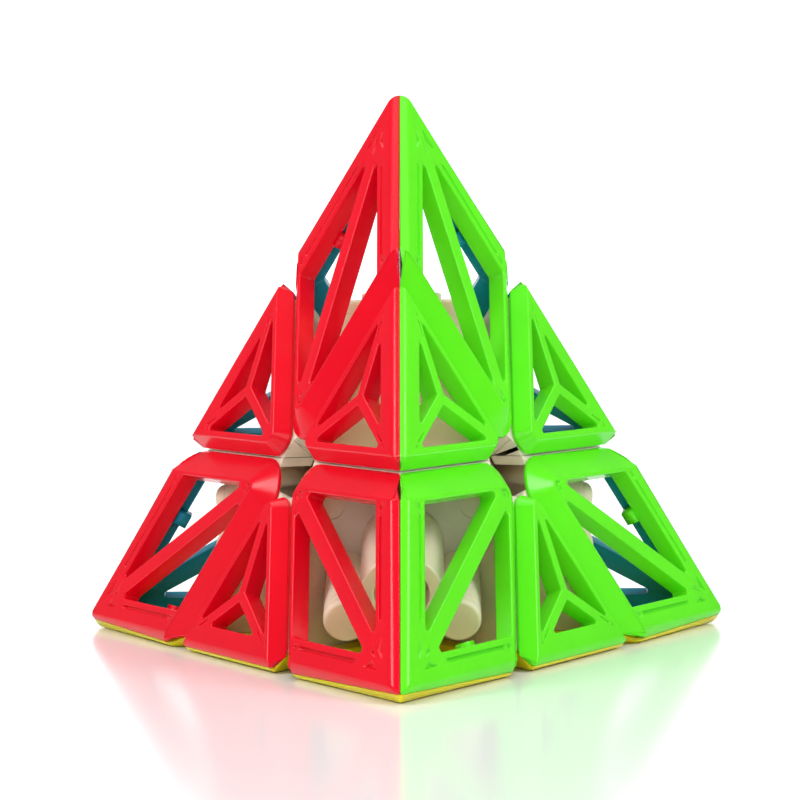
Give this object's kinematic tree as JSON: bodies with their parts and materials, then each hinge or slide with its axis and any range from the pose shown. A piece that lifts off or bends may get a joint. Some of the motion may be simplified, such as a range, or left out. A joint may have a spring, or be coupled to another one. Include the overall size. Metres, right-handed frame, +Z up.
{
  "type": "pyramid twisty puzzle",
  "caption": "Tetrahedral layer-turning puzzle with open skeleton frames in plain colours on a pale inner mechanism.",
  "frame": {"origin": "middle of the core, where the four turning axes cross", "axes": "+Z up through the top corner; -Y towards the front corner; the yellow face lies at the bottom, 20 mm under the origin"},
  "size_m": [0.093, 0.0811, 0.076],
  "materials": {
    "red": "glossy moulded ABS, red",
    "green": "glossy moulded ABS, lime green",
    "blue": "glossy moulded ABS, blue",
    "yellow": "glossy moulded ABS, yellow",
    "white": "satin ivory moulded plastic",
    "steel": "plated steel"
  },
  "bodies": {
    "core_body": {"core": "white", "screw_top": "steel", "screw_front": "steel", "screw_left": "steel", "screw_right": "steel"},
    "carrier_top": {"washer_top": "steel", "spring_top": "steel"},
    "corner_top": {"corner_top_hub": "white", "corner_top_frame_blue": "blue", "corner_top_frame_green": "green", "corner_top_frame_red": "red"},
    "carrier_front": {"washer_front": "steel", "spring_front": "steel"},
    "corner_front": {"corner_front_hub": "white", "corner_front_frame_yellow": "yellow", "corner_front_frame_green": "green", "corner_front_frame_red": "red"},
    "carrier_left": {"washer_left": "steel", "spring_left": "steel"},
    "corner_left": {"corner_left_hub": "white", "corner_left_frame_yellow": "yellow", "corner_left_frame_blue": "blue", "corner_left_frame_red": "red"},
    "carrier_right": {"washer_right": "steel", "spring_right": "steel"},
    "corner_right": {"corner_right_hub": "white", "corner_right_frame_yellow": "yellow", "corner_right_frame_blue": "blue", "corner_right_frame_green": "green"},
    "edge_top_front": {"edge_top_front_hub": "white", "edge_top_front_frame_green": "green", "edge_top_front_frame_red": "red"},
    "edge_top_left": {"edge_top_left_hub": "white", "edge_top_left_frame_blue": "blue", "edge_top_left_frame_red": "red"},
    "edge_top_right": {"edge_top_right_hub": "white", "edge_top_right_frame_blue": "blue", "edge_top_right_frame_green": "green"},
    "edge_front_left": {"edge_front_left_hub": "white", "edge_front_left_frame_yellow": "yellow", "edge_front_left_frame_red": "red"},
    "edge_front_right": {"edge_front_right_hub": "white", "edge_front_right_frame_yellow": "yellow", "edge_front_right_frame_green": "green"},
    "edge_left_right": {"edge_left_right_hub": "white", "edge_left_right_frame_yellow": "yellow", "edge_left_right_frame_blue": "blue"}
  },
  "joints": [
    {"name": "turn_top", "type": "hinge", "parent": "core_body", "child": "carrier_top", "pos_m": [0, 0, 0], "axis": [0, 0, 1], "continuous": true},
    {"name": "lift_top", "type": "slide", "parent": "carrier_top", "child": "corner_top", "axis": [0, 0, 1], "range_m": [0, 0.0006], "stiffness_N_per_m": 1200, "springref_m": -0.001, "deforming": ["spring_top"]},
    {"name": "turn_front", "type": "hinge", "parent": "core_body", "child": "carrier_front", "pos_m": [0, 0, 0], "axis": [0, -0.9428, -0.3333], "range_deg": [-360, 360]},
    {"name": "lift_front", "type": "slide", "parent": "carrier_front", "child": "corner_front", "axis": [0, -0.9428, -0.3333], "range_m": [0, 0.0006], "stiffness_N_per_m": 1200, "springref_m": -0.001, "deforming": ["spring_front"]},
    {"name": "turn_left", "type": "hinge", "parent": "core_body", "child": "carrier_left", "pos_m": [0, 0, 0], "axis": [-0.8165, 0.4714, -0.3333], "range_deg": [-360, 360]},
    {"name": "lift_left", "type": "slide", "parent": "carrier_left", "child": "corner_left", "axis": [-0.8165, 0.4714, -0.3333], "range_m": [0, 0.0006], "stiffness_N_per_m": 1200, "springref_m": -0.001, "deforming": ["spring_left"]},
    {"name": "turn_right", "type": "hinge", "parent": "core_body", "child": "carrier_right", "pos_m": [0, 0, 0], "axis": [0.8165, 0.4714, -0.3333], "range_deg": [-360, 360]},
    {"name": "lift_right", "type": "slide", "parent": "carrier_right", "child": "corner_right", "axis": [0.8165, 0.4714, -0.3333], "range_m": [0, 0.0006], "stiffness_N_per_m": 1200, "springref_m": -0.001, "deforming": ["spring_right"]},
    {"name": "swing_top_front", "type": "hinge", "parent": "carrier_top", "child": "edge_top_front", "pos_m": [0, 0, 0], "axis": [0, -0.9428, -0.3333], "range_deg": [-360, 360]},
    {"name": "swing_top_left", "type": "hinge", "parent": "carrier_top", "child": "edge_top_left", "pos_m": [0, 0, 0], "axis": [-0.8165, 0.4714, -0.3333], "range_deg": [-360, 360]},
    {"name": "swing_top_right", "type": "hinge", "parent": "carrier_top", "child": "edge_top_right", "pos_m": [0, 0, 0], "axis": [0.8165, 0.4714, -0.3333], "range_deg": [-360, 360]},
    {"name": "swing_front_left", "type": "hinge", "parent": "carrier_front", "child": "edge_front_left", "pos_m": [0, 0, 0], "axis": [-0.8165, 0.4714, -0.3333], "range_deg": [-360, 360]},
    {"name": "swing_front_right", "type": "hinge", "parent": "carrier_right", "child": "edge_front_right", "pos_m": [0, 0, 0], "axis": [0, -0.9428, -0.3333], "range_deg": [-360, 360]},
    {"name": "swing_left_right", "type": "hinge", "parent": "carrier_left", "child": "edge_left_right", "pos_m": [0, 0, 0], "axis": [0.8165, 0.4714, -0.3333], "range_deg": [-360, 360]}
  ],
  "couplings": [
    {"joint": "swing_top_front", "follows": "turn_front", "ratio": 1},
    {"joint": "swing_top_left", "follows": "turn_left", "ratio": 1},
    {"joint": "swing_top_right", "follows": "turn_right", "ratio": 1},
    {"joint": "swing_front_left", "follows": "turn_left", "ratio": 1},
    {"joint": "swing_front_right", "follows": "turn_front", "ratio": 1},
    {"joint": "swing_left_right", "follows": "turn_right", "ratio": 1}
  ]
}
